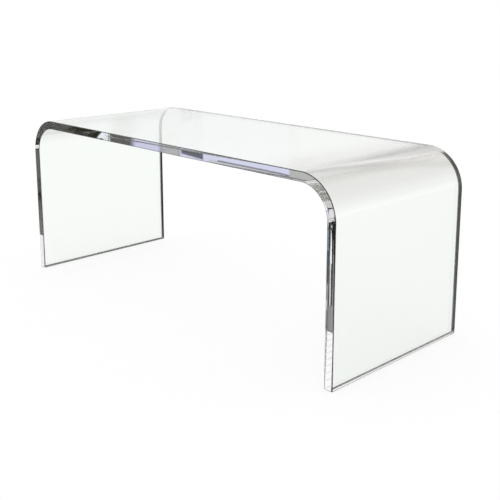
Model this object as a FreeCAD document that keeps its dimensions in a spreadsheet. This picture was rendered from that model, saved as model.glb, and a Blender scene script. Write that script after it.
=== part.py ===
import FreeCAD, Part
import enum
import math
import os

import Sketcher
from FreeCAD import Vector

# Waterfall coffee table: one thick clear sheet, bent twice into an inverted U, on four small bumper pads.
# Millimetres. X runs along the table, Y across it (the front edge is at -Y) and Z up. The origin is the
# centre of the footprint, on the floor.

DRIVING_SIZES = {
    "table_length": 1020,
    "table_width": 400,
    "table_height": 400,
    "sheet_thickness": 20,
    "bend_inner_radius": 65,
    "arris_radius": 1.5,
    "pad_diameter": 12,
    "pad_tread_diameter": 11,
    "pad_height": 1.6,
    "pad_side_inset": 30,
}

# Which way along X each leg stands from the middle, and which way along Y each pad does.
LEG_SIDES = {"left": -1, "right": 1}
PAD_SIDES = {"front": -1, "back": 1}


class Point(enum.IntEnum):
    """The points of a sketch element, in Sketcher's own numbering."""
    START = 1
    END = 2
    CENTRE = 3


class Axis(enum.IntEnum):
    """A sketch's own axes, in Sketcher's own numbering."""
    HORIZONTAL = -1
    VERTICAL = -2


# How near to a plane an edge has to lie to count as in it.
ON_PLANE = 1e-6


def make_size_sheet(document):
    """The spreadsheet that drives every sub-part: one plain number and its alias to a row."""
    sheet = document.addObject("Spreadsheet::Sheet", "sizes")
    for row, (name, value) in enumerate(DRIVING_SIZES.items(), start=1):
        sheet.set(f"A{row}", name)
        sheet.set(f"B{row}", str(value))
        sheet.setAlias(f"B{row}", name)
    document.recompute()
    return sheet


def make_body(document, label):
    body = document.addObject("PartDesign::Body", label)
    body.Label = label
    return body


def make_upright_sketch(body, name):
    """A sketch on the body's own XZ plane, so its horizontal is X and its vertical is Z."""
    plane = next(item for item in body.Origin.OriginFeatures if item.Role == "XZ_Plane")
    sketch = body.newObject("Sketcher::SketchObject", name)
    sketch.AttachmentSupport = [(plane, "")]
    sketch.MapMode = "FlatFace"
    return sketch


def add_line(sketch, start, end):
    return sketch.addGeometry(Part.LineSegment(Vector(*start, 0), Vector(*end, 0)), False)


def add_quarter(sketch, centre, radius, first_angle):
    """A quarter circle that runs anticlockwise from first_angle, in degrees."""
    circle = Part.Circle(Vector(*centre, 0), Vector(0, 0, 1), radius)
    start, end = math.radians(first_angle), math.radians(first_angle + 90)
    return sketch.addGeometry(Part.ArcOfCircle(circle, start, end), False)


def constrain(sketch, kind, *elements):
    return sketch.addConstraint(Sketcher.Constraint(kind, *elements))


def drive(sketch, kind, name, elements, expression):
    """A dimension that the size sheet sets."""
    value = sketch.Document.getObject("sizes").evalExpression(expression)
    index = constrain(sketch, kind, *elements, float(value))
    sketch.renameConstraint(index, name)
    sketch.setExpression(f"Constraints.{name}", expression)


def draw_bent_outline(sketch, sheet):
    """The sheet seen from its side edge: top, two bends and two legs, of one thickness all the way round.

    The two arcs of each bend share a centre and run tangent into the flats, which is what keeps the
    thickness. The feet stand on the sketch's horizontal axis.
    """
    thickness = sheet.sheet_thickness
    inner_radius = sheet.bend_inner_radius
    outer_radius = inner_radius + thickness
    end = sheet.table_length / 2
    inside = end - thickness
    bend = end - outer_radius
    top = sheet.table_height - sheet.pad_height
    under = top - thickness
    spring = top - outer_radius

    left_outside = add_line(sketch, (-end, 0), (-end, spring))
    left_outer_bend = add_quarter(sketch, (-bend, spring), outer_radius, 90)
    table_top = add_line(sketch, (-bend, top), (bend, top))
    right_outer_bend = add_quarter(sketch, (bend, spring), outer_radius, 0)
    right_outside = add_line(sketch, (end, spring), (end, 0))
    right_foot = add_line(sketch, (end, 0), (inside, 0))
    right_inside = add_line(sketch, (inside, 0), (inside, spring))
    right_inner_bend = add_quarter(sketch, (bend, spring), inner_radius, 0)
    underside = add_line(sketch, (bend, under), (-bend, under))
    left_inner_bend = add_quarter(sketch, (-bend, spring), inner_radius, 90)
    left_inside = add_line(sketch, (-inside, spring), (-inside, 0))
    left_foot = add_line(sketch, (-inside, 0), (-end, 0))

    tangent_joints = [
        (left_outside, Point.END, left_outer_bend, Point.END),
        (left_outer_bend, Point.START, table_top, Point.START),
        (table_top, Point.END, right_outer_bend, Point.END),
        (right_outer_bend, Point.START, right_outside, Point.START),
        (right_inside, Point.END, right_inner_bend, Point.START),
        (right_inner_bend, Point.END, underside, Point.START),
        (underside, Point.END, left_inner_bend, Point.START),
        (left_inner_bend, Point.END, left_inside, Point.START),
    ]
    for joint in tangent_joints:
        constrain(sketch, "Tangent", *joint)
    corners = [
        (right_outside, Point.END, right_foot, Point.START),
        (right_foot, Point.END, right_inside, Point.START),
        (left_inside, Point.END, left_foot, Point.START),
        (left_foot, Point.END, left_outside, Point.START),
    ]
    for corner in corners:
        constrain(sketch, "Coincident", *corner)
    constrain(sketch, "Coincident", left_outer_bend, Point.CENTRE, left_inner_bend, Point.CENTRE)
    constrain(sketch, "Coincident", right_outer_bend, Point.CENTRE, right_inner_bend, Point.CENTRE)
    for leg_line in (left_outside, right_outside, left_inside, right_inside):
        constrain(sketch, "Vertical", leg_line)
    for level_line in (table_top, underside, left_foot, right_foot):
        constrain(sketch, "Horizontal", level_line)
    constrain(sketch, "Equal", left_inner_bend, right_inner_bend)
    constrain(sketch, "Symmetric", left_foot, Point.END, right_foot, Point.START, Axis.VERTICAL)
    constrain(sketch, "PointOnObject", left_foot, Point.END, Axis.HORIZONTAL)

    overall = (left_foot, Point.END, right_foot, Point.START)
    drive(sketch, "DistanceX", "overall_length", overall, "sizes.table_length")
    rise = (right_outside, Point.END, table_top, Point.END)
    drive(sketch, "DistanceY", "sheet_height", rise, "sizes.table_height - sizes.pad_height")
    wall = (left_foot, Point.END, left_foot, Point.START)
    drive(sketch, "DistanceX", "wall", wall, "sizes.sheet_thickness")
    drive(sketch, "Radius", "inner_bend", (left_inner_bend,), "sizes.bend_inner_radius")


def arris_edges(shape, half_width):
    """The sharp edges of the cut sheet: all round its two side faces, and along its feet."""
    names = []
    for index, edge in enumerate(shape.Edges, start=1):
        box = edge.BoundBox
        on_side = box.YLength < ON_PLANE and abs(abs(box.YMin) - half_width) < ON_PLANE
        on_foot = box.ZLength < ON_PLANE and abs(box.ZMin) < ON_PLANE
        if on_side or on_foot:
            names.append(f"Edge{index}")
    return names


def make_bent_sheet(document, sheet):
    """The whole table: the bent outline across the table's width, with its sawn and polished edges eased."""
    body = make_body(document, "bent_sheet")
    outline = make_upright_sketch(body, "bent_outline")
    draw_bent_outline(outline, sheet)

    slab = body.newObject("PartDesign::Pad", "full_width")
    slab.Profile = outline
    slab.SideType = "Symmetric"
    slab.setExpression("Length", "sizes.table_width")
    document.recompute()

    arris = body.newObject("PartDesign::Fillet", "eased_arrises")
    arris.Base = (slab, arris_edges(slab.Shape, sheet.table_width / 2))
    arris.setExpression("Radius", "sizes.arris_radius")
    body.Tip = arris

    # The feet stand on the pads.
    body.setExpression("Placement.Base.z", "sizes.pad_height")
    return body


def draw_pad_section(sketch, sheet):
    """Half a pad's section: flat on top, where it sticks to the foot, tapering to a smaller flat tread."""
    radius = sheet.pad_diameter / 2
    tread_radius = sheet.pad_tread_diameter / 2
    height = sheet.pad_height

    seat = add_line(sketch, (0, height), (radius, height))
    side = add_line(sketch, (radius, height), (tread_radius, 0))
    tread = add_line(sketch, (tread_radius, 0), (0, 0))
    axis = add_line(sketch, (0, 0), (0, height))

    corners = [
        (seat, Point.END, side, Point.START),
        (side, Point.END, tread, Point.START),
        (tread, Point.END, axis, Point.START),
        (axis, Point.END, seat, Point.START),
    ]
    for corner in corners:
        constrain(sketch, "Coincident", *corner)
    constrain(sketch, "Horizontal", seat)
    constrain(sketch, "Horizontal", tread)
    constrain(sketch, "Vertical", axis)
    constrain(sketch, "Coincident", axis, Point.START, Axis.HORIZONTAL, Point.START)

    drive(sketch, "DistanceX", "pad_radius", (seat, Point.START, seat, Point.END), "sizes.pad_diameter / 2")
    across_tread = (tread, Point.END, tread, Point.START)
    drive(sketch, "DistanceX", "tread_radius", across_tread, "sizes.pad_tread_diameter / 2")
    drive(sketch, "DistanceY", "pad_rise", (axis, Point.START, axis, Point.END), "sizes.pad_height")


def make_foot_pad(document, sheet, leg, side):
    """A clear round bumper pad under the middle of a leg's thickness, near one end of its foot."""
    body = make_body(document, f"foot_pad_{leg}_{side}")
    section = make_upright_sketch(body, f"section_{leg}_{side}")
    draw_pad_section(section, sheet)

    disc = body.newObject("PartDesign::Revolution", f"disc_{leg}_{side}")
    disc.Profile = section
    disc.ReferenceAxis = (section, ["V_Axis"])
    disc.Angle = 360
    body.Tip = disc

    leg_middle = "(sizes.table_length - sizes.sheet_thickness) / 2"
    pad_middle = "(sizes.table_width / 2 - sizes.pad_side_inset)"
    body.setExpression("Placement.Base.x", f"{LEG_SIDES[leg]} * {leg_middle}")
    body.setExpression("Placement.Base.y", f"{PAD_SIDES[side]} * {pad_middle}")
    return body


def check(document, bodies):
    """Stops the build if any feature failed, a sketch is loose, or a sub-part isn't one sound solid."""
    for item in document.Objects:
        if "Invalid" in item.State or "Error" in item.State:
            raise RuntimeError(f"{item.Label} failed: {item.State}")
        if item.isDerivedFrom("Sketcher::SketchObject") and not item.FullyConstrained:
            raise RuntimeError(f"sketch {item.Label} isn't fully constrained")
    for body in bodies:
        shape = body.Shape
        if shape.isNull() or not shape.isValid() or len(shape.Solids) != 1:
            raise RuntimeError(f"{body.Label} isn't one valid solid")


def main():
    document = FreeCAD.newDocument("waterfall_table")
    sheet = make_size_sheet(document)
    bodies = [make_bent_sheet(document, sheet)]
    for leg in LEG_SIDES:
        for side in PAD_SIDES:
            bodies.append(make_foot_pad(document, sheet, leg, side))
    document.recompute()
    check(document, bodies)

    os.makedirs("parts", exist_ok=True)
    for body in bodies:
        body.Shape.exportStep(os.path.join("parts", f"{body.Label}.step"))
        print(f"{body.Label}: {body.Shape.Volume / 1000:.3f} cm3")


main()
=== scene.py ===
import math

import bpy
from mathutils import Matrix, Vector, noise


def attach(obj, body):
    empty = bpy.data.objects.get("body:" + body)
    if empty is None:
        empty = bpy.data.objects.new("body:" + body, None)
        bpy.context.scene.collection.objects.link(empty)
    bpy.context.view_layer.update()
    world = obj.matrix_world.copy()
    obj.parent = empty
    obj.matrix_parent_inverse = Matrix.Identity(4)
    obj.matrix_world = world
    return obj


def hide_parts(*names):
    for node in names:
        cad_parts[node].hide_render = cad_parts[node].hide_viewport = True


# A waterfall coffee table: one thick clear acrylic sheet, hot-bent twice into an inverted U, with polished
# edges, on four clear bumper pads. Metres. X runs along the table, the front edge is at -Y, and Z is up.

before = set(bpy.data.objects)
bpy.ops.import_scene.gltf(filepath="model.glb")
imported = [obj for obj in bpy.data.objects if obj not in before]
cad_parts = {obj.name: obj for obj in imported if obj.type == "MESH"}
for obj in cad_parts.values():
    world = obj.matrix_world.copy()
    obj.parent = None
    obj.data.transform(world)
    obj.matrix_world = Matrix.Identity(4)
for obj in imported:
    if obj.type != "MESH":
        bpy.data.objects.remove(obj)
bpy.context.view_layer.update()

# The table's own sizes.
LENGTH, WIDTH, HEIGHT = 1.020, 0.400, 0.400
THICKNESS = 0.020
BEND_INNER_RADIUS = 0.065
ARRIS = 0.0015
PAD_DIAMETER, PAD_TREAD_DIAMETER, PAD_HEIGHT = 0.012, 0.011, 0.0016
PAD_SIDE_INSET = 0.030

HALF_THICKNESS = THICKNESS / 2
BEND_MID_RADIUS = BEND_INNER_RADIUS + HALF_THICKNESS
BEND_CENTRE_X = LENGTH / 2 - THICKNESS - BEND_INNER_RADIUS
BEND_CENTRE_Z = HEIGHT - THICKNESS - BEND_INNER_RADIUS
LEG_MID_X = LENGTH / 2 - HALF_THICKNESS
FOOT_Z = PAD_HEIGHT

# Where the flats end and the arris begins: across the sheet, through its thickness, and over the foot.
FLAT_HALF_WIDTH = WIDTH / 2 - ARRIS
FLAT_HALF_THICKNESS = HALF_THICKNESS - ARRIS
FLAT_FOOT_Z = FOOT_Z + ARRIS

# The stretches of the sheet, along the middle of its thickness.
LEG_LENGTH = BEND_CENTRE_Z - FLAT_FOOT_Z
BEND_LENGTH = BEND_MID_RADIUS * math.pi / 2
TOP_LENGTH = 2 * BEND_CENTRE_X

# How finely the sheet is divided.
LEG_STEP, TOP_STEP, WIDTH_STEP = 0.012, 0.012, 0.005
BEND_STEPS, ARRIS_STEPS, SIDE_STEPS = 72, 5, 8


# --- the bent sheet ---------------------------------------------------------------------------------------

def even_steps(start, end, step):
    """Evenly spaced values from start up to but not including end."""
    count = max(1, round(abs(end - start) / step))
    return [start + (end - start) * i / count for i in range(count)]


def bend_stations(travelled, centre_x, first_angle):
    """The stations round one bend, clockwise from the angle of its first normal. See path_stations."""
    stations = []
    for i in range(BEND_STEPS):
        angle = first_angle - math.pi / 2 * i / BEND_STEPS
        normal = (math.cos(angle), math.sin(angle))
        point = (centre_x + BEND_MID_RADIUS * normal[0], BEND_CENTRE_Z + BEND_MID_RADIUS * normal[1])
        stations.append((travelled + BEND_LENGTH * i / BEND_STEPS, point, normal))
    return stations


def path_stations():
    """Stations along the middle of the sheet, left foot to right foot: (distance, point, outward normal).

    The distance runs from the left foot, and points and normals are (x, z) pairs.
    """
    stations = []
    travelled = ARRIS
    for rise in even_steps(0, LEG_LENGTH, LEG_STEP):
        stations.append((travelled + rise, (-LEG_MID_X, FLAT_FOOT_Z + rise), (-1.0, 0.0)))
    travelled += LEG_LENGTH
    stations += bend_stations(travelled, -BEND_CENTRE_X, math.pi)
    travelled += BEND_LENGTH
    for run in even_steps(0, TOP_LENGTH, TOP_STEP):
        stations.append((travelled + run, (-BEND_CENTRE_X + run, HEIGHT - HALF_THICKNESS), (0.0, 1.0)))
    travelled += TOP_LENGTH
    stations += bend_stations(travelled, BEND_CENTRE_X, math.pi / 2)
    travelled += BEND_LENGTH
    for fall in even_steps(0, LEG_LENGTH, LEG_STEP) + [LEG_LENGTH]:
        stations.append((travelled + fall, (LEG_MID_X, BEND_CENTRE_Z - fall), (1.0, 0.0)))
    return stations


def section_loop():
    """The sheet's section as (core point, outward direction) pairs of (through the thickness, across) pairs.

    The core is the rectangle that the arris rolls round. The loop runs along the outer face towards +Y,
    round the back edge, back along the inner face and round the front edge.
    """
    deep, wide = FLAT_HALF_THICKNESS, FLAT_HALF_WIDTH
    corners = [(deep, wide, 0), (-deep, wide, 90), (-deep, -wide, 180), (deep, -wide, 270)]
    sides = [
        [(deep, y) for y in even_steps(-wide, wide, WIDTH_STEP)],
        [(n, wide) for n in even_steps(deep, -deep, 2 * deep / SIDE_STEPS)],
        [(-deep, y) for y in even_steps(wide, -wide, WIDTH_STEP)],
        [(n, -wide) for n in even_steps(-deep, deep, 2 * deep / SIDE_STEPS)],
    ]
    directions = [(1, 0), (0, 1), (-1, 0), (0, -1)]
    loop = []
    for side, direction, (core_n, core_y, first) in zip(sides, directions, corners):
        loop += [(point, direction) for point in side]
        for i in range(ARRIS_STEPS):
            angle = math.radians(first + 90 * i / ARRIS_STEPS)
            loop.append(((core_n, core_y), (math.cos(angle), math.sin(angle))))
    return loop


# Where each bend's middle lies along the path, and how far its heating softened the sheet either way.
LEFT_BEND_AT = BEND_CENTRE_Z - FOOT_Z + BEND_LENGTH / 2
RIGHT_BEND_AT = LEFT_BEND_AT + BEND_LENGTH + TOP_LENGTH
HEATED_REACH = 0.085

# The gentle ripple that hot bending leaves in the faces: how deep, how long each way, over what width it
# fades beside the arris, how far apart in the noise the two faces lie, and at what strength it ends.
RIPPLE_DEPTH = 0.00016
RIPPLE_ALONG, RIPPLE_ACROSS = 0.045, 0.110
RIPPLE_FADE = 0.010
RIPPLE_FACES_APART = 7.3
RIPPLE_WEAKEST = 1e-4

# The step over which the ripple's slope is measured.
SLOPE_STEP = 1e-4

ACROSS = Vector((0, 1, 0))


def ripple(distance, across, face):
    """How far a face stands out from true, in metres: less than 0 near the bends, and 0 away from them."""
    nearest = min(abs(distance - LEFT_BEND_AT), abs(distance - RIGHT_BEND_AT))
    strength = math.exp(-(nearest / HEATED_REACH) ** 4)
    if strength < RIPPLE_WEAKEST:
        return 0.0
    edge = min(1.0, (FLAT_HALF_WIDTH - abs(across)) / RIPPLE_FADE)
    if edge <= 0:
        return 0.0
    edge = edge * edge * (3 - 2 * edge)
    at = Vector((distance / RIPPLE_ALONG, across / RIPPLE_ACROSS, RIPPLE_FACES_APART * face))
    return -RIPPLE_DEPTH * strength * edge * (0.5 + 0.5 * noise.noise(at))


def rippled(point, normal, along, distance, across, face):
    """A point of a face and its normal, moved and tilted by the ripple."""
    depth = ripple(distance, across, face)
    slope_along = (ripple(distance + SLOPE_STEP, across, face) - depth) / SLOPE_STEP
    slope_across = (ripple(distance, across + SLOPE_STEP, face) - depth) / SLOPE_STEP
    tilted = normal - along * slope_along - ACROSS * slope_across
    return point + normal * depth, tilted.normalized()


def face_of(direction):
    """1 for the outer face, -1 for the inner one, 0 for the rest of the section."""
    return {(1, 0): 1, (-1, 0): -1}.get(direction, 0)


def sheet_ring(loop, station, roll_degrees, end_sign):
    """One ring of points round the sheet at a station, each with its normal.

    The roll is 90 degrees where the ring is the plain section, and less round a foot's arris, down to 0 at
    the foot's flat. The end sign is -1 for the left foot and 1 for the right one.
    """
    roll = math.radians(roll_degrees)
    distance, (x, z), (nx, nz) = station
    outward, along = Vector((nx, 0, nz)), Vector((nz, 0, -nx))
    ring = []
    for core, direction in loop:
        flat = outward * direction[0] + ACROSS * direction[1]
        normal = flat * math.sin(roll) + along * (end_sign * math.cos(roll))
        point = Vector((x, 0, z)) + outward * core[0] + ACROSS * core[1] + normal * ARRIS
        face = face_of(direction)
        if face:
            point, normal = rippled(point, normal, along, distance, core[1], face)
        ring.append((point, normal))
    return ring


def ring_faces(rings, around):
    """The four-sided faces that join so many rings of so many points, each ring to the next."""
    faces = []
    for ring in range(rings - 1):
        a, b = ring * around, (ring + 1) * around
        for i in range(around):
            j = (i + 1) % around
            faces.append((a + i, b + i, b + j, a + j))
    return faces


def build_sheet():
    """The sheet as one closed mesh: rings along its path, with both feet closed off."""
    stations, loop = path_stations(), section_loop()
    rings = [sheet_ring(loop, stations[0], 90 * i / ARRIS_STEPS, -1) for i in range(ARRIS_STEPS)]
    rings += [sheet_ring(loop, station, 90, -1) for station in stations]
    for i in range(ARRIS_STEPS):
        rings.append(sheet_ring(loop, stations[-1], 90 * (1 - (i + 1) / ARRIS_STEPS), 1))

    around = len(loop)
    last = (len(rings) - 1) * around
    faces = ring_faces(len(rings), around)
    faces.append(tuple(range(around)))
    faces.append(tuple(reversed(range(last, last + around))))
    points, normals = zip(*[pair for ring in rings for pair in ring])
    return smooth_mesh("bent_sheet_visual", points, normals, faces)


# Points coincide if they are the same to this many steps in a metre.
POINT_STEPS = 1e7


def smooth_mesh(name, points, normals, faces):
    """A closed, smooth-shaded object with the given normals. Points that coincide become one."""
    first, index, kept, kept_normals = {}, [], [], []
    for point, normal in zip(points, normals):
        key = tuple(round(value * POINT_STEPS) for value in point)
        if key not in first:
            first[key] = len(kept)
            kept.append(point)
            kept_normals.append(normal)
        index.append(first[key])
    clean = []
    for face in faces:
        corners = []
        for corner in face:
            if index[corner] not in corners:
                corners.append(index[corner])
        if len(corners) > 2:
            clean.append(corners)
    mesh = bpy.data.meshes.new(name)
    mesh.from_pydata([tuple(point) for point in kept], [], clean)
    mesh.update()
    mesh.shade_smooth()
    mesh.normals_split_custom_set_from_vertices([tuple(normal) for normal in kept_normals])
    piece = bpy.data.objects.new(name, mesh)
    bpy.context.scene.collection.objects.link(piece)
    return piece


# --- the bumper pads --------------------------------------------------------------------------------------

# A pad's rounded rims, at its seat and at its tread, and how finely the pad is divided.
PAD_SEAT_RIM, PAD_TREAD_RIM = 0.0002, 0.0004
PAD_SEAT_RIM_STEPS, PAD_TREAD_RIM_STEPS = 4, 6
PAD_TURNS = 48

# The hair's breadth between a pad's seat and the foot, so that the two surfaces don't coincide.
SEAT_GAP = 0.00003


def rim_points(centre_radius, centre_height, rim, first_degrees, steps):
    """A quarter circle of (radius, height) points, clockwise from its first angle."""
    points = []
    for i in range(steps + 1):
        angle = math.radians(first_degrees - 90 * i / steps)
        points.append((centre_radius + rim * math.cos(angle), centre_height + rim * math.sin(angle)))
    return points


def pad_profile():
    """Half a pad's outline from the middle of its seat to the middle of its tread, as (radius, height)."""
    top, radius, tread = PAD_HEIGHT - SEAT_GAP, PAD_DIAMETER / 2, PAD_TREAD_DIAMETER / 2
    seat_rim = rim_points(radius - PAD_SEAT_RIM, top - PAD_SEAT_RIM, PAD_SEAT_RIM, 90, PAD_SEAT_RIM_STEPS)
    tread_rim = rim_points(tread - PAD_TREAD_RIM, PAD_TREAD_RIM, PAD_TREAD_RIM, 0, PAD_TREAD_RIM_STEPS)
    return [(0.0, top), (radius / 2, top)] + seat_rim + tread_rim + [(tread / 2, 0.0), (0.0, 0.0)]


def build_pad(name, x, y):
    """A bumper pad: its outline turned about the upright through x and y."""
    profile = pad_profile()
    turns = [2 * math.pi * turn / PAD_TURNS for turn in range(PAD_TURNS)]
    points, normals = [], []
    for i, (radius, height) in enumerate(profile):
        before, after = profile[max(i - 1, 0)], profile[min(i + 1, len(profile) - 1)]
        run, rise = after[0] - before[0], after[1] - before[1]
        size = math.hypot(run, rise)
        out, up = -rise / size, run / size
        for angle in turns:
            points.append(Vector((x + radius * math.cos(angle), y + radius * math.sin(angle), height)))
            normals.append(Vector((out * math.cos(angle), out * math.sin(angle), up)))
    return smooth_mesh(name, points, normals, ring_faces(len(profile), PAD_TURNS))


# --- materials --------------------------------------------------------------------------------------------

WHITE, BLACK = (1, 1, 1, 1), (0, 0, 0, 1)


def new_tree(owner):
    """An empty node tree on a new material or world."""
    owner.use_nodes = True
    owner.node_tree.nodes.clear()
    return owner.node_tree


def add_node(tree, kind, inputs=(), **settings):
    """A node with its settings, and its inputs by name: a value, or another node's output to link."""
    node = tree.nodes.new(kind)
    for key, value in settings.items():
        setattr(node, key, value)
    for key, value in dict(inputs).items():
        if isinstance(value, bpy.types.NodeSocket):
            tree.links.new(value, node.inputs[key])
        else:
            node.inputs[key].default_value = value
    return node


def new_material(name):
    """A new material, its node tree, and the place on the object, which its patterns follow."""
    material = bpy.data.materials.new(name)
    tree = new_tree(material)
    return material, tree, add_node(tree, "ShaderNodeTexCoord").outputs["Object"]


def set_surface(tree, shader, output_kind="ShaderNodeOutputMaterial"):
    """Link a shader to a new output node."""
    output = add_node(tree, output_kind)
    tree.links.new(shader.outputs[0], output.inputs["Surface"])


def separate(tree, vector):
    """The three numbers in a vector."""
    return add_node(tree, "ShaderNodeSeparateXYZ", {0: vector}).outputs


def math_node(tree, operation, *values, clamp=False):
    """The result of one operation on numbers or outputs."""
    node = add_node(tree, "ShaderNodeMath", dict(enumerate(values)), operation=operation, use_clamp=clamp)
    return node.outputs[0]


def either(tree, first, second):
    """The larger of two masks."""
    return math_node(tree, "MAXIMUM", first, second)


def both(tree, first, second):
    """The product of two masks."""
    return math_node(tree, "MULTIPLY", first, second)


def between(tree, share, first, second):
    """The value that lies a share of the way from the first number to the second."""
    return math_node(tree, "MULTIPLY_ADD", share, second - first, first)


def bell(tree, value, centre, half_width):
    """1 at the centre, falling away smoothly on both sides."""
    away = math_node(tree, "DIVIDE", math_node(tree, "SUBTRACT", value, centre), half_width)
    squared = math_node(tree, "POWER", away, 2.0)
    return math_node(tree, "EXPONENT", math_node(tree, "MULTIPLY", squared, -1.0))


def ramp(tree, value, zero_at, one_at):
    """0 up to one value and 1 from another, smooth between. It falls where the second is the lower."""
    inputs = {"Value": value, "From Min": zero_at, "From Max": one_at}
    return add_node(tree, "ShaderNodeMapRange", inputs, interpolation_type="SMOOTHSTEP").outputs[0]


def band(tree, value, low, high, soft):
    """1 between low and high, 0 outside, with ends that soften so far either way."""
    return both(tree, ramp(tree, value, low - soft, low + soft), ramp(tree, value, high + soft, high - soft))


def grey_ramp(tree, value, stops, span):
    """A grey that eases through the stops, which are (position, grey) pairs within the span."""
    low, high = span
    fraction = add_node(tree, "ShaderNodeMapRange", {"Value": value, "From Min": low, "From Max": high})
    node = add_node(tree, "ShaderNodeValToRGB", {"Fac": fraction.outputs[0]})
    node.color_ramp.interpolation = "EASE"
    elements = node.color_ramp.elements
    while len(elements) < len(stops):
        elements.new(0.5)
    for element, (position, grey) in zip(elements, stops):
        element.position = (position - low) / (high - low)
        element.color = (grey, grey, grey, 1)
    return node.outputs["Color"]


def mix_colours(tree, factor, first, second):
    """The first colour where the factor is 0, the second where it is 1."""
    inputs = {"Factor": factor, 6: first, 7: second}
    node = add_node(tree, "ShaderNodeMix", inputs, data_type="RGBA", clamp_factor=False)
    return node.outputs[2]


def noise_value(tree, vector, scale, detail=2.0):
    """Noise, mostly between 0.3 and 0.7."""
    inputs = {"Vector": vector, "Scale": scale, "Detail": detail}
    return add_node(tree, "ShaderNodeTexNoise", inputs).outputs[0]


def patches(tree, vector, scale, detail, zero_at, one_at):
    """Soft patches, where noise lies over the first level, full from the second on."""
    return ramp(tree, noise_value(tree, vector, scale, detail), zero_at, one_at)


ACRYLIC_IOR = 1.49

# Patches below are given as patches() takes them: the noise's scale and detail, and its two levels.

# What the sheet leaves of light that crosses it in the flats, and the bends' painted shade at its darkest.
CLEAR_TINT = (0.955, 0.984, 0.955, 1)
BEND_PAINTED_SHADE_TINT = (0.775, 0.770, 0.750, 1)

# How much painted shade the sheet has along its path, in degrees round the bend, which carry on at the same
# scale in the flats. The painted shade wanders by up to so many degrees, in long, low waves, and the left
# bend's is weaker.
BEND_PAINTED_SHADE = [
    (-115, 0.0), (-80, 0.25), (-45, 0.60), (-15, 0.80), (8, 0.75), (30, 0.95), (50, 0.8), (66, 0.5),
    (84, 0.0),
]
BEND_PAINTED_SHADE_SPAN = (-120, 120)
PAINTED_SHADE_WANDER = 6.0
PAINTED_SHADE_WAVES_PER_DEGREE, PAINTED_SHADE_WAVES_PER_METRE = 0.035, 5.0
LEFT_BEND_PAINTED_SHADE = 0.25

# Painted reflections across the right bend, dark bands of painted shade and a pale painted highlight: degrees
# round the bend at the table's middle, how many more at its back edge, half width in degrees, strength at the
# front edge and at the back one, and colour. A strength over 1 counts as 1.
# The painted reflections' colours: a dark painted shade, and a pale painted highlight.
PAINTED_DARK_REFLECTION_TINT = (0.26, 0.25, 0.23, 1)
PAINTED_HIGHLIGHT_TINT = (0.98, 0.95, 0.93, 1)
PAINTED_BEND_REFLECTIONS = [
    (-4, 0, 13.0, 0.10, 0.80, PAINTED_DARK_REFLECTION_TINT),
    (28, 20, 5.0, 0.25, 0.20, PAINTED_DARK_REFLECTION_TINT),
    (16, 14, 4.0, 1.30, 0.70, PAINTED_HIGHLIGHT_TINT),
]

# The hazed strip of the outer face where the right bend begins: degrees round the bend, how softly it ends,
# and the share hazed at front and back.
HAZE_FROM, HAZE_TO, HAZE_SOFT = 2.0, 27.0, 4.0
HAZE_FRONT, HAZE_BACK = 0.90, 0.80

# Wiping leaves hairlines in the faces: how the noise is squeezed along each axis, its patches, and how rough
# they are.
WIPING_SQUEEZE = (3.0, 60.0, 3.0)
WIPING_PATCHES = (6.0, 6.0, 0.70, 0.78)
WIPING_ROUGHNESS = 0.012

# The eased arrises are only lightly buffed, and their colour is a painted shade, nearly black, that draws the
# sheet's dark outlines. Along the feet the painted dark line is wider, by this much of the outer face and of
# the inner one.
ARRIS_PAINTED_SHADE = (0.012, 0.012, 0.012, 1)
ARRIS_PAINTED_SHADE_LIGHTER = (0.05, 0.05, 0.05, 1)
FOOT_LINE_OUTER, FOOT_LINE_INNER = 0.0003, 0.0008

# The buffing, which also varies the painted shade: the noise's scale and detail, the levels between which the
# arris's painted shade turns lighter, its least roughness, and how much rougher it gets as the noise rises.
BUFFING_AND_SHADE_SCALE, BUFFING_AND_SHADE_DETAIL = 60.0, 3.0
PAINTED_SHADE_DARKEST_AT, PAINTED_SHADE_LIGHTEST_AT = 0.35, 0.75
BUFFING_ROUGHNESS, BUFFING_ROUGHER = 0.02, 0.10

# The polisher's waviness in the edges: how deep it is where the sheet was bent, the share of that by degrees
# round the bend, and the noise's scale and detail. The edges are slightly dull in patches.
EDGE_WAVE_DEPTH = 0.00006
EDGE_WAVINESS = [(-12, 0.04), (4, 1.0), (86, 1.0), (100, 0.04)]
EDGE_WAVINESS_SPAN = (-90, 180)
EDGE_WAVE_SCALE, EDGE_WAVE_DETAIL = 90.0, 3.0
EDGE_DULL_PATCHES = (35.0, 4.0, 0.62, 0.75)
EDGE_ROUGHNESS = 0.004

# The pads: clean and dusty colours, where they are dusty, roughness and what dust adds to it, orange peel,
# and how clear they are.
PAD_CLEAN, PAD_DUSTY = (0.88, 0.90, 0.89, 1), (0.74, 0.75, 0.73, 1)
PAD_DUST_PATCHES = (500.0, 4.0, 0.45, 0.75)
PAD_ROUGHNESS, PAD_DUST_ROUGHNESS = 0.25, 0.25
PEEL_SCALE, PEEL_DETAIL, PEEL_STRENGTH, PEEL_DEPTH = 1400.0, 2.0, 0.4, 0.00005
PAD_CLEARNESS = 0.8
POLYURETHANE_IOR = 1.5


def from_bend_centre(tree, x, z):
    """A point's distances past the end of the top and over the end of the leg."""
    past_top = math_node(tree, "SUBTRACT", math_node(tree, "ABSOLUTE", x), BEND_CENTRE_X)
    return past_top, math_node(tree, "SUBTRACT", z, BEND_CENTRE_Z)


def on_outer_face(tree, x, z):
    """1 on the sheet's outer face, 0 on its inner one."""
    past_top, over_leg = from_bend_centre(tree, x, z)
    across = math_node(tree, "MAXIMUM", past_top, 0.0)
    up = math_node(tree, "MAXIMUM", over_leg, 0.0)
    squares = math_node(tree, "MULTIPLY_ADD", across, across, math_node(tree, "MULTIPLY", up, up))
    return math_node(tree, "GREATER_THAN", squares, BEND_MID_RADIUS ** 2)


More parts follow.
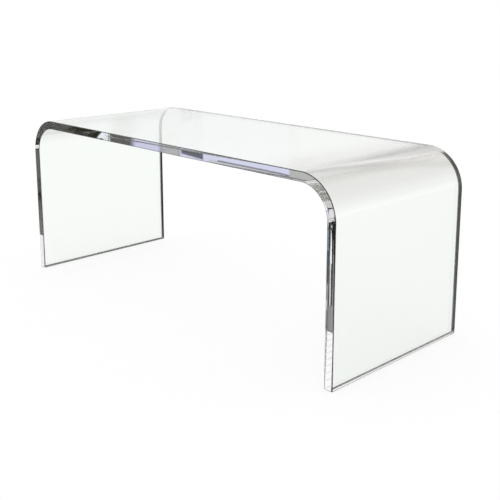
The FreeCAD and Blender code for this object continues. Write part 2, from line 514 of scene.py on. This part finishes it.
def degrees_round_bend(tree, x, z):
    """How far round its bend a point is: 0 at the top's end, 90 at the leg, and on past both in the flats."""
    degrees_per_metre = math.degrees(1 / BEND_MID_RADIUS)
    past_top, over_leg = from_bend_centre(tree, x, z)
    angle = math_node(tree, "ARCTAN2", math_node(tree, "MAXIMUM", past_top, 0.0),
                      math_node(tree, "MAXIMUM", over_leg, 0.0))
    before = math_node(tree, "MULTIPLY", math_node(tree, "MINIMUM", past_top, 0.0), degrees_per_metre)
    after = math_node(tree, "MULTIPLY", math_node(tree, "MINIMUM", over_leg, 0.0), -degrees_per_metre)
    return math_node(tree, "ADD", math_node(tree, "DEGREES", angle), math_node(tree, "ADD", before, after))


def wandered_degrees(tree, degrees, y):
    """The degrees round the bend as the painted shade has them, which wander across the sheet."""
    waves = add_node(tree, "ShaderNodeCombineXYZ", {
        0: math_node(tree, "MULTIPLY", degrees, PAINTED_SHADE_WAVES_PER_DEGREE),
        1: math_node(tree, "MULTIPLY", y, PAINTED_SHADE_WAVES_PER_METRE),
    }).outputs[0]
    wander = math_node(tree, "SUBTRACT", noise_value(tree, waves, 1.0), 0.5)
    return math_node(tree, "ADD", degrees, math_node(tree, "MULTIPLY", wander, PAINTED_SHADE_WANDER * 2))


def bend_painted_tint(tree, degrees, y, back, at_right):
    """The clear tint, with painted shade round the bends, and on the right one slanting painted reflections.
    """
    # Painted shade round the bends, weaker on the left one.
    painted_shade = grey_ramp(tree, degrees, BEND_PAINTED_SHADE, BEND_PAINTED_SHADE_SPAN)
    share = between(tree, at_right, LEFT_BEND_PAINTED_SHADE, 1)
    tint = mix_colours(tree, both(tree, painted_shade, share), CLEAR_TINT, BEND_PAINTED_SHADE_TINT)
    # Painted reflections across the right bend: dark bands of painted shade and a pale painted highlight.
    for middle, slant, half_width, at_front, at_back, colour in PAINTED_BEND_REFLECTIONS:
        centre = math_node(tree, "MULTIPLY_ADD", y, slant / (WIDTH / 2), middle)
        strength = math_node(tree, "MULTIPLY_ADD", back, at_back - at_front, at_front, clamp=True)
        mark = both(tree, both(tree, bell(tree, degrees, centre, half_width), strength), at_right)
        tint = mix_colours(tree, mark, tint, colour)
    return tint


def on_foot_line(tree, x, z):
    """1 where the painted dark line of shade along a foot reaches up a face."""
    inner = math_node(tree, "LESS_THAN", math_node(tree, "ABSOLUTE", x), LEG_MID_X)
    line_top = between(tree, inner, FOOT_LINE_OUTER, FOOT_LINE_INNER)
    return math_node(tree, "LESS_THAN", z, math_node(tree, "ADD", line_top, FLAT_FOOT_Z))


def face_material():
    """Polished faces: faint green, hazed by heat, wiped by hand, painted shade and reflections in the bends.
    """
    material, tree, place = new_material("clear_cast_acrylic")
    x, y, z = separate(tree, place)
    degrees = degrees_round_bend(tree, x, z)
    at_right = math_node(tree, "GREATER_THAN", x, 0.0)
    back = math_node(tree, "MULTIPLY_ADD", y, 1 / WIDTH, 0.5, clamp=True)

    tint = bend_painted_tint(tree, wandered_degrees(tree, degrees, y), y, back, at_right)
    # Painted shade: a dark line along the feet, in the arris's painted colour.
    tint = mix_colours(tree, on_foot_line(tree, x, z), tint, ARRIS_PAINTED_SHADE)

    strip = band(tree, degrees, HAZE_FROM, HAZE_TO, HAZE_SOFT)
    strip = both(tree, strip, both(tree, at_right, on_outer_face(tree, x, z)))
    haze = both(tree, strip, between(tree, back, HAZE_FRONT, HAZE_BACK))
    grain = add_node(tree, "ShaderNodeMapping", {"Vector": place, "Scale": WIPING_SQUEEZE}).outputs[0]
    set_surface(tree, add_node(tree, "ShaderNodeBsdfPrincipled", {
        "Base Color": tint,
        "Roughness": math_node(tree, "MULTIPLY", patches(tree, grain, *WIPING_PATCHES), WIPING_ROUGHNESS),
        "IOR": ACRYLIC_IOR,
        "Transmission Weight": math_node(tree, "SUBTRACT", 1.0, haze),
    }))
    return material


def edge_material():
    """The sawn and polished edges: clear, with the polisher's faint waviness."""
    material, tree, place = new_material("polished_acrylic_edge")
    x, _, z = separate(tree, place)
    share = grey_ramp(tree, degrees_round_bend(tree, x, z), EDGE_WAVINESS, EDGE_WAVINESS_SPAN)
    waves = math_node(tree, "MULTIPLY", noise_value(tree, place, EDGE_WAVE_SCALE, EDGE_WAVE_DETAIL), share)
    bumps = {"Strength": 1.0, "Distance": EDGE_WAVE_DEPTH, "Height": waves}
    set_surface(tree, add_node(tree, "ShaderNodeBsdfPrincipled", {
        "Base Color": WHITE,
        "Roughness": math_node(tree, "MULTIPLY", patches(tree, place, *EDGE_DULL_PATCHES), EDGE_ROUGHNESS),
        "IOR": ACRYLIC_IOR,
        "Transmission Weight": 1.0,
        "Normal": add_node(tree, "ShaderNodeBump", bumps).outputs[0],
    }))
    return material


def arris_material():
    """The eased arrises: the same acrylic, unevenly buffed, and coloured with a painted dark shade."""
    material, tree, place = new_material("acrylic_arris_painted_shade")
    # Painted shade: nearly black, lighter in patches, drawing the sheet's dark outlines; the same noise sets
    # the roughness.
    buffing_and_shade = noise_value(tree, place, BUFFING_AND_SHADE_SCALE, BUFFING_AND_SHADE_DETAIL)
    lighter = ramp(tree, buffing_and_shade, PAINTED_SHADE_DARKEST_AT, PAINTED_SHADE_LIGHTEST_AT)
    set_surface(tree, add_node(tree, "ShaderNodeBsdfPrincipled", {
        "Base Color": mix_colours(tree, lighter, ARRIS_PAINTED_SHADE, ARRIS_PAINTED_SHADE_LIGHTER),
        "Roughness": math_node(tree, "MULTIPLY_ADD", buffing_and_shade, BUFFING_ROUGHER, BUFFING_ROUGHNESS),
        "IOR": ACRYLIC_IOR,
        "Transmission Weight": 1.0,
    }))
    return material


def pad_material():
    """Clear polyurethane, faintly milky and dusty, with the moulded pads' fine orange peel."""
    material, tree, place = new_material("bumper_polyurethane")
    peel = noise_value(tree, place, PEEL_SCALE, PEEL_DETAIL)
    bumps = {"Strength": PEEL_STRENGTH, "Distance": PEEL_DEPTH, "Height": peel}
    dust = patches(tree, place, *PAD_DUST_PATCHES)
    set_surface(tree, add_node(tree, "ShaderNodeBsdfPrincipled", {
        "Base Color": mix_colours(tree, dust, PAD_CLEAN, PAD_DUSTY),
        "Roughness": math_node(tree, "MULTIPLY_ADD", dust, PAD_DUST_ROUGHNESS, PAD_ROUGHNESS),
        "IOR": POLYURETHANE_IOR,
        "Transmission Weight": PAD_CLEARNESS,
        "Normal": add_node(tree, "ShaderNodeBump", bumps).outputs[0],
    }))
    return material


# --- the studio -------------------------------------------------------------------------------------------

# What stands about the studio, as the light that was trapped in the sheet finds it on leaving. Bearings are
# degrees from the Y axis, alike in all four quarters, and heights are degrees above the horizon. Each card is
# painted over those before it: bearings, heights, how softly its sides end in degrees, colour, and how many
# degrees it sinks for each degree of bearing.
SURROUNDINGS = [
    ((-1, 91), (-91, -63), 1.0, (0.60, 0.60, 0.59)),              # grey floor underfoot
    ((62, 91), (-50, -28), 1.0, (0.60, 0.60, 0.59)),              # grey floor along the sides
    ((-1, 91), (63, 91), 1.0, (1.0, 1.0, 1.0)),                   # white ceiling
    ((-1, 30), (-47, -36), 1.0, (0.60, 0.60, 0.59)),              # grey floor to front and back
    ((-1, 43.4), (-37, 38), 1.0, (0.62, 0.62, 0.61)),             # pale wall over it
    ((-1, 39.0), (8, 40), 2.0, (0.88, 0.88, 0.87)),               # the wall's upper part
    ((-1, 36), (38, 62), 1.5, (1.0, 1.0, 1.0)),                   # white ceiling down to the wall
    ((36, 63), (14.5, 62), 0.4, (1.0, 1.0, 1.0)),                 # white ceiling over the corners
    ((36, 43.2), (-13.5, 1), 0.8, (0.78, 0.78, 0.79)),            # the wall's brightest part
    ((40.5, 43.4), (-11.7, -10.7), 0.1, (0.47, 0.48, 0.47)),      # with a rail below
    ((40.5, 43.4), (10.2, 13.0), 0.2, (0.47, 0.48, 0.47)),        # and one above
    ((55.75, 66), (-10.7, 14), 0.2, (0.90, 0.95, 1.0)),           # window
    ((57, 66), (-11.9, -10.7), 0.2, (0.13, 0.13, 0.12)),          # sill
    ((57, 66), (-12.7, -11.9), 0.2, (0.09, 0.09, 0.08)),
    ((57, 66), (-15.6, -13.2), 0.3, (0.11, 0.11, 0.10)),
    ((56, 62), (-22, -16.4), 0.2, (1.0, 1.0, 1.0)),               # lamp under it
    ((54.25, 55.75), (-12, 14), 0.08, (0.12, 0.12, 0.12)),        # dark curtain
    ((52.3, 54.2), (-12, 14), 0.25, (0.66, 0.67, 0.87)),          # lavender screen
    ((51.0, 52.3), (-12, 14), 0.20, (0.46, 0.47, 0.49)),          # grey screen
    ((43.4, 51.0), (-12.6, 14), 0.1, (0.68, 0.70, 0.86)),         # long lavender screen
    ((49.4, 50.9), (-8, 10.9), 0.08, (0.11, 0.11, 0.13), 0.30),   # dark stand before it
    ((43.4, 49.0), (12.0, 15), 0.08, (0.56, 0.56, 0.58), 0.20),   # grey skirting along it
    ((43.4, 48.4), (11.93, 12.03), 0.04, (0.20, 0.20, 0.24), 0.20),
    ((39.5, 42.0), (-24, -14.4), 0.15, (0.012, 0.014, 0.018)),    # dark gap beside the leg
]

# What shows in that gap. Here bearings to the left of the Y axis count as less than nothing.
NARROW_CARDS = [
    ((-42, -40.62), (-17.1, -16.0), 0.03, (0.22, 0.29, 0.34)),        # blue cloth
    ((-42, -40.60), (-18.2, -17.1), 0.10, (0.10, 0.14, 0.17)),
    ((-42, -40.60), (-19.2, -18.2), 0.10, (0.12, 0.12, 0.13)),        # grey cupboards
    ((-42, -40.55), (-20.3, -19.2), 0.15, (0.34, 0.35, 0.37)),
    ((-42, -40.55), (-21.0, -20.3), 0.10, (0.62, 0.62, 0.63)),
    ((-42, -40.00), (-22.4, -21.0), 0.10, (0.26, 0.26, 0.26)),
    ((40.35, 40.47), (-17.9, -15.8), 0.015, (0.95, 0.97, 1.0)),       # lamp
    ((40.40, 40.47), (-20.7, -17.9), 0.015, (0.85, 0.86, 0.88)),
    ((40.35, 40.40), (-20.7, -17.9), 0.015, (0.16, 0.16, 0.17)),
    ((40.20, 40.27), (-17.3, -16.5), 0.02, (0.12, 0.12, 0.12)),
    ((40.20, 40.27), (-21.0, -17.3), 0.02, (0.26, 0.26, 0.26)),
    ((40.1, 42), (-22.4, -20.7), 0.08, (0.26, 0.26, 0.26)),
]

# What light finds that was turned back just once in the sheet, by height, in front of the table and behind.
FRONT_WALL = [(-90, 0.005), (-9.5, 0.005), (0, 0.10), (20, 0.22), (38, 0.6), (60, 1.0)]
BACK_WALL = [(-90, 0.025), (-50, 0.025), (-38, 1.0), (90, 1.0)]

# The studio behind the table by height, as the sheet's surface mirrors it. In front it is white.
CEILING = [(0, 0.94), (13.5, 0.94), (19, 0.55), (48, 0.55), (62, 1.0)]

# Heights run from straight down to straight up. The studio's two halves blend where a direction's Y is
# between minus this and this.
HEIGHT_SPAN = (-90, 90)
HALVES_BLEND = 0.4

# What the cards stand before: a dim room with brighter and darker places, from noise of this scale and
# detail, with this contrast and offset, and never darker than the least share of its colour.
DARK_ROOM = (0.024, 0.024, 0.016)
CLUTTER_SCALE, CLUTTER_DETAIL = 9.0, 5.0
CLUTTER_CONTRAST, CLUTTER_OFFSET, CLUTTER_LEAST = 3.2, -0.9, 0.15


def card_mask(tree, bearing, height, bearings, heights, soft, sinks=0.0):
    """1 inside a rectangle of directions, 0 outside, with soft sides."""
    if sinks:
        along = math_node(tree, "SUBTRACT", bearing, bearings[0])
        height = math_node(tree, "MULTIPLY_ADD", along, sinks, height)
    return both(tree, band(tree, bearing, *bearings, soft), band(tree, height, *heights, soft))


def room_colour(tree, direction, sided, height):
    """The room that light finds in each direction when it was trapped in the sheet."""
    clutter = noise_value(tree, direction, CLUTTER_SCALE, CLUTTER_DETAIL)
    clutter = math_node(tree, "MULTIPLY_ADD", clutter, CLUTTER_CONTRAST, CLUTTER_OFFSET)
    clutter = math_node(tree, "MAXIMUM", clutter, CLUTTER_LEAST)
    room = mix_colours(tree, clutter, BLACK, (*DARK_ROOM, 1))
    bearing = math_node(tree, "ABSOLUTE", sided)
    for cards, across in ((SURROUNDINGS, bearing), (NARROW_CARDS, sided)):
        for bearings, heights, soft, colour, *sinks in cards:
            mask = card_mask(tree, across, height, bearings, heights, soft, *sinks)
            room = mix_colours(tree, mask, room, (*colour, 1))
    return room


# The floor is a disc of grey paper that also glows, up to white with the studio's light on it. In mirror
# images alone the paper ends at this Y, just in front of the table, and fades into a dark bare floor over so
# much more.
FLOOR_RADIUS, FLOOR_CORNERS = 8.0, 96
PAPER, PAPER_GLOW = (0.18, 0.18, 0.18, 1), 0.83
BARE_FLOOR = (0.10, 0.10, 0.07, 1)
PAPER_END, PAPER_FADE = -0.22, 0.1

# The share of the paper's glow that shows in the sheet's outer reflections.
MIRRORED_SHARE = 0.33


def at_least(tree, count, number):
    """1 where a Light Path count has reached the number, 0 below it."""
    return math_node(tree, "GREATER_THAN", count, number - 0.5)


def none_of(tree, count):
    """1 where a Light Path count is 0, and 0 from one on."""
    return math_node(tree, "LESS_THAN", count, 0.5)


def build_floor():
    """A pale floor that keeps the table's shadow. Light trapped in the sheet finds the studio beyond it.

    Light Path calls a ray glossy that only went through the sheet, so a mirror image is told by the glossy
    depth, which counts reflections.
    """
    bpy.ops.mesh.primitive_circle_add(
        vertices=FLOOR_CORNERS, radius=FLOOR_RADIUS, fill_type="NGON", location=(0, 0, 0),
    )
    floor = bpy.context.object
    floor.name = "studio_floor"
    material, tree, place = new_material("pale_floor")
    path = add_node(tree, "ShaderNodeLightPath").outputs
    reflected = at_least(tree, path["Glossy Depth"], 1)
    mirrored = both(tree, path["Is Glossy Ray"], reflected)
    trapped = both(tree, path["Is Transmission Ray"], reflected)
    through_or_off = either(tree, path["Is Glossy Ray"], path["Is Transmission Ray"])
    seen = either(tree, path["Is Camera Ray"], through_or_off)

    outside = both(tree, mirrored, none_of(tree, path["Transmission Depth"]))
    strength = both(tree, both(tree, seen, PAPER_GLOW), between(tree, outside, 1, MIRRORED_SHARE))
    diffuse = add_node(tree, "ShaderNodeBsdfDiffuse", {"Color": PAPER})
    glow = add_node(tree, "ShaderNodeEmission", {"Strength": strength})
    paper = add_node(tree, "ShaderNodeAddShader", {0: diffuse.outputs[0], 1: glow.outputs[0]})

    bare = add_node(tree, "ShaderNodeBsdfDiffuse", {"Color": BARE_FLOOR})
    past_paper = ramp(tree, separate(tree, place)[1], PAPER_END, PAPER_END - PAPER_FADE)
    in_front = both(tree, mirrored, past_paper)
    lit = add_node(tree, "ShaderNodeMixShader", {0: in_front, 1: paper.outputs[0], 2: bare.outputs[0]})

    clear = add_node(tree, "ShaderNodeBsdfTransparent")
    shader = add_node(tree, "ShaderNodeMixShader", {0: trapped, 1: lit.outputs[0], 2: clear.outputs[0]})
    set_surface(tree, shader)
    floor.data.materials.append(material)


def build_world():
    """A studio, white to the eye and pale in the sheet's mirror images.

    Light that was turned back once in the sheet finds plain walls, and light that was trapped finds a room.
    """
    world = bpy.data.worlds.new("studio")
    bpy.context.scene.world = world
    tree = new_tree(world)
    path = add_node(tree, "ShaderNodeLightPath").outputs
    direction = add_node(tree, "ShaderNodeTexCoord").outputs["Generated"]
    x, y, z = separate(tree, direction)
    sided = math_node(tree, "DEGREES", math_node(tree, "ARCTAN2", x, math_node(tree, "ABSOLUTE", y)))
    height = math_node(tree, "DEGREES", math_node(tree, "ARCSINE", z))

    in_front = ramp(tree, y, HALVES_BLEND, -HALVES_BLEND)
    back_wall = grey_ramp(tree, height, BACK_WALL, HEIGHT_SPAN)
    walls = mix_colours(tree, in_front, back_wall, grey_ramp(tree, height, FRONT_WALL, HEIGHT_SPAN))
    ceiling = mix_colours(tree, in_front, grey_ramp(tree, height, CEILING, HEIGHT_SPAN), WHITE)

    # Light on its way from the floor finds the studio white.
    direct = none_of(tree, path["Diffuse Depth"])
    leaving = both(tree, path["Is Transmission Ray"], direct)
    turned_once = both(tree, leaving, at_least(tree, path["Glossy Depth"], 1))
    turned_twice = both(tree, leaving, at_least(tree, path["Glossy Depth"], 2))
    seen = mix_colours(tree, both(tree, path["Is Glossy Ray"], direct), WHITE, ceiling)
    seen = mix_colours(tree, turned_once, seen, walls)
    seen = mix_colours(tree, turned_twice, seen, room_colour(tree, direction, sided, height))
    background = add_node(tree, "ShaderNodeBackground", {"Color": seen, "Strength": 1.0})
    set_surface(tree, background, "ShaderNodeOutputWorld")


# The camera stands in front and to the right, a little above the table top.
CAMERA_AZIMUTH, CAMERA_ELEVATION = 46.1525, 11.9523
CAMERA_DISTANCE = 1.9827
CAMERA_ACROSS, CAMERA_RAISE = 0.0600, 0.0965
CAMERA_LENS, CAMERA_SHIFT_Y = 60.58, -0.15


def build_camera():
    """The camera, aimed a little to the right of the table's middle and over it."""
    azimuth, elevation = math.radians(CAMERA_AZIMUTH), math.radians(CAMERA_ELEVATION)
    back = Vector((
        math.sin(azimuth) * math.cos(elevation),
        -math.cos(azimuth) * math.cos(elevation),
        math.sin(elevation),
    ))
    right = Vector((0, 0, 1)).cross(back).normalized()
    up = back.cross(right)
    target = Vector((0, 0, HEIGHT / 2)) + right * CAMERA_ACROSS + up * CAMERA_RAISE
    data = bpy.data.cameras.new("camera")
    data.lens = CAMERA_LENS
    data.shift_y = CAMERA_SHIFT_Y
    camera = bpy.data.objects.new("camera", data)
    bpy.context.scene.collection.objects.link(camera)
    turn = Matrix((right, up, back)).transposed()
    camera.matrix_world = Matrix.Translation(target + back * CAMERA_DISTANCE) @ turn.to_4x4()
    bpy.context.scene.camera = camera


# How many corners light may turn in the sheet before it is given up.
MOST_BOUNCES = 256


def set_light_paths():
    """Light that is trapped in the sheet turns many corners before it leaves."""
    cycles = bpy.context.scene.cycles
    cycles.max_bounces = MOST_BOUNCES
    cycles.glossy_bounces = MOST_BOUNCES
    cycles.transmission_bounces = MOST_BOUNCES


# An edge or foot is flat where its normal lies this nearly along Y or Z.
FLAT_NORMAL = 0.995


def surface_kind(polygon):
    """0 for the sheet's two faces, 1 for the flat of its edges and feet, 2 for the arrises."""
    if abs(polygon.center.y) < FLAT_HALF_WIDTH and polygon.center.z > FLAT_FOOT_Z:
        return 0
    return 1 if max(abs(polygon.normal.y), abs(polygon.normal.z)) > FLAT_NORMAL else 2


# --- the scene --------------------------------------------------------------------------------------------

sheet = build_sheet()
for make_material in (face_material, edge_material, arris_material):
    sheet.data.materials.append(make_material())
for polygon in sheet.data.polygons:
    polygon.material_index = surface_kind(polygon)
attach(sheet, "root")
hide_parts("bent_sheet")

rubber = pad_material()
for leg, leg_side in (("left", -1), ("right", 1)):
    for side, width_side in (("front", -1), ("back", 1)):
        node = f"foot_pad_{leg}_{side}"
        pad = build_pad(f"{node}_visual", leg_side * LEG_MID_X, width_side * (WIDTH / 2 - PAD_SIDE_INSET))
        pad.data.materials.append(rubber)
        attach(pad, "root")
        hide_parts(node)

build_floor()
build_world()
build_camera()
set_light_paths()
bpy.context.scene.view_settings.view_transform = "Standard"
